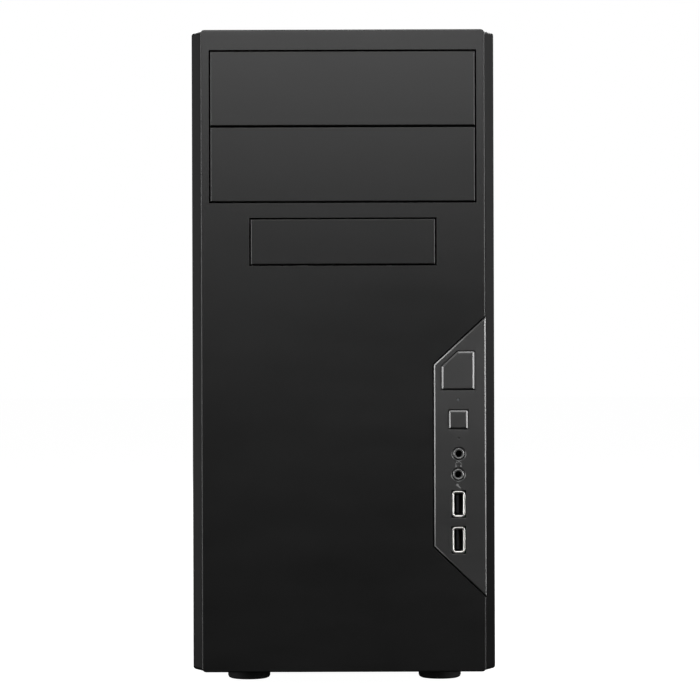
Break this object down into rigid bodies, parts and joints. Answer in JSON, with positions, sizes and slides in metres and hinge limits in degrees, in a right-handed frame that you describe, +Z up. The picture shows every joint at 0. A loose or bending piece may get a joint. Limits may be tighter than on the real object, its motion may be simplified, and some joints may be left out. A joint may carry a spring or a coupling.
{
  "type": "desktop computer tower",
  "caption": "Upright steel computer case with a moulded front, drive-bay covers, front sockets and buttons, sliding side panels and its working electronics inside.",
  "frame": {"origin": "centre of the footprint on the floor, under the middle of the case", "axes": "+X to the right seen from the front, +Y to the back, +Z up"},
  "size_m": [0.17, 0.36, 0.366],
  "materials": {
    "satin_black_plastic": "satin moulded ABS",
    "matt_black_plastic": "fine-grained matt ABS",
    "black_painted_steel": "fine-textured powder coat",
    "zinc_coated_steel": "galvanised sheet",
    "nickel_plated_steel": "bright nickel plate",
    "aluminium": "satin",
    "circuit_board": "solder mask over fibreglass",
    "rubber": "matt",
    "clear_plastic": "clear polycarbonate",
    "cable_sleeve": "PVC cable jacket",
    "red_cable": "PVC cable jacket"
  },
  "bodies": {
    "case": {"mains_inlet": "matt_black_plastic", "rear_fan_frame": "matt_black_plastic", "cpu_fan_frame": "matt_black_plastic", "psu_fan_frame": "matt_black_plastic", "top_panel": "black_painted_steel", "base_panel": "zinc_coated_steel", "rear_panel": "zinc_coated_steel", "front_frame": "zinc_coated_steel", "motherboard_tray": "zinc_coated_steel", "bay_cage": "zinc_coated_steel", "drive_cage": "zinc_coated_steel", "slot_cover_1": "zinc_coated_steel", "slot_cover_2": "zinc_coated_steel", "slot_cover_3": "zinc_coated_steel", "slot_cover_4": "zinc_coated_steel", "psu_case": "zinc_coated_steel", "psu_cover": "zinc_coated_steel", "io_shield": "nickel_plated_steel", "psu_fan_guard": "nickel_plated_steel", "backup_battery": "nickel_plated_steel", "cpu_heatsink": "aluminium", "hard_drive": "aluminium", "processor": "aluminium", "motherboard": "circuit_board", "memory_module_1": "circuit_board", "memory_module_2": "circuit_board", "psu_circuit_board": "circuit_board", "foot_front_left": "rubber", "foot_front_right": "rubber", "foot_rear_left": "rubber", "foot_rear_right": "rubber", "main_power_cable": "cable_sleeve", "processor_power_cable": "cable_sleeve", "drive_power_cable": "cable_sleeve", "front_panel_cable": "cable_sleeve", "drive_data_cable": "red_cable"},
    "front": {"front_bezel": "satin_black_plastic", "io_panel": "matt_black_plastic", "power_led": "clear_plastic", "front_io_board": "circuit_board", "usb_socket_upper": "nickel_plated_steel", "usb_socket_lower": "nickel_plated_steel", "headphone_jack": "matt_black_plastic", "microphone_jack": "matt_black_plastic", "switch_board": "circuit_board"},
    "power_button": {"power_button": "satin_black_plastic"},
    "reset_button": {"reset_button": "satin_black_plastic"},
    "bay_cover_upper": {"bay_cover_upper": "satin_black_plastic"},
    "bay_cover_lower": {"bay_cover_lower": "satin_black_plastic"},
    "bay_cover_small": {"bay_cover_small": "satin_black_plastic"},
    "rear_fan_rotor": {"rear_fan_rotor": "matt_black_plastic"},
    "cpu_fan_rotor": {"cpu_fan_rotor": "matt_black_plastic"},
    "psu_fan_rotor": {"psu_fan_rotor": "matt_black_plastic"},
    "psu_switch": {"psu_switch": "matt_black_plastic"},
    "left_side_panel": {"left_side_panel": "black_painted_steel"},
    "right_side_panel": {"right_side_panel": "black_painted_steel"},
    "thumb_screw_left_lower": {"thumb_screw_left_lower": "nickel_plated_steel"},
    "thumb_screw_left_upper": {"thumb_screw_left_upper": "nickel_plated_steel"},
    "thumb_screw_right_lower": {"thumb_screw_right_lower": "nickel_plated_steel"},
    "thumb_screw_right_upper": {"thumb_screw_right_upper": "nickel_plated_steel"}
  },
  "joints": [
    {"name": "left_side_panel_slide", "type": "slide", "parent": "case", "child": "left_side_panel", "axis": [0, 1, 0], "range_m": [0, 0.33]},
    {"name": "right_side_panel_slide", "type": "slide", "parent": "case", "child": "right_side_panel", "axis": [0, 1, 0], "range_m": [0, 0.33]},
    {"name": "front_bezel_pull", "type": "slide", "parent": "case", "child": "front", "axis": [0, -1, 0], "range_m": [0, 0.05]},
    {"name": "bay_cover_upper_pull", "type": "slide", "parent": "front", "child": "bay_cover_upper", "axis": [0, -1, 0], "range_m": [0, 0.05]},
    {"name": "bay_cover_lower_pull", "type": "slide", "parent": "front", "child": "bay_cover_lower", "axis": [0, -1, 0], "range_m": [0, 0.05]},
    {"name": "bay_cover_small_pull", "type": "slide", "parent": "front", "child": "bay_cover_small", "axis": [0, -1, 0], "range_m": [0, 0.05]},
    {"name": "power_button_press", "type": "slide", "parent": "front", "child": "power_button", "axis": [0, 1, 0], "range_m": [0, 0.002], "stiffness_N_per_m": 600, "springref_m": -0.002},
    {"name": "reset_button_press", "type": "slide", "parent": "front", "child": "reset_button", "axis": [0, 1, 0], "range_m": [0, 0.0015], "stiffness_N_per_m": 600, "springref_m": -0.002},
    {"name": "rear_fan_spin", "type": "hinge", "parent": "case", "child": "rear_fan_rotor", "pos_m": [-0.025, 0.158, 0.205], "axis": [0, 1, 0], "continuous": true},
    {"name": "cpu_fan_spin", "type": "hinge", "parent": "case", "child": "cpu_fan_rotor", "pos_m": [0.016, 0.095, 0.2], "axis": [1, 0, 0], "continuous": true},
    {"name": "psu_fan_spin", "type": "hinge", "parent": "case", "child": "psu_fan_rotor", "pos_m": [0, 0.101, 0.284], "axis": [0, 0, 1], "continuous": true},
    {"name": "psu_switch_rock", "type": "hinge", "parent": "case", "child": "psu_switch", "pos_m": [-0.02, 0.167, 0.33], "axis": [1, 0, 0], "range_deg": [-21.8, 0]},
    {"name": "thumb_screw_left_lower_turn", "type": "hinge", "parent": "left_side_panel", "child": "thumb_screw_left_lower", "pos_m": [-0.078, 0.176, 0.06], "axis": [0, 1, 0], "continuous": true},
    {"name": "thumb_screw_left_upper_turn", "type": "hinge", "parent": "left_side_panel", "child": "thumb_screw_left_upper", "pos_m": [-0.078, 0.176, 0.3], "axis": [0, 1, 0], "continuous": true},
    {"name": "thumb_screw_right_lower_turn", "type": "hinge", "parent": "right_side_panel", "child": "thumb_screw_right_lower", "pos_m": [0.078, 0.176, 0.06], "axis": [0, 1, 0], "continuous": true},
    {"name": "thumb_screw_right_upper_turn", "type": "hinge", "parent": "right_side_panel", "child": "thumb_screw_right_upper", "pos_m": [0.078, 0.176, 0.3], "axis": [0, 1, 0], "continuous": true}
  ]
}
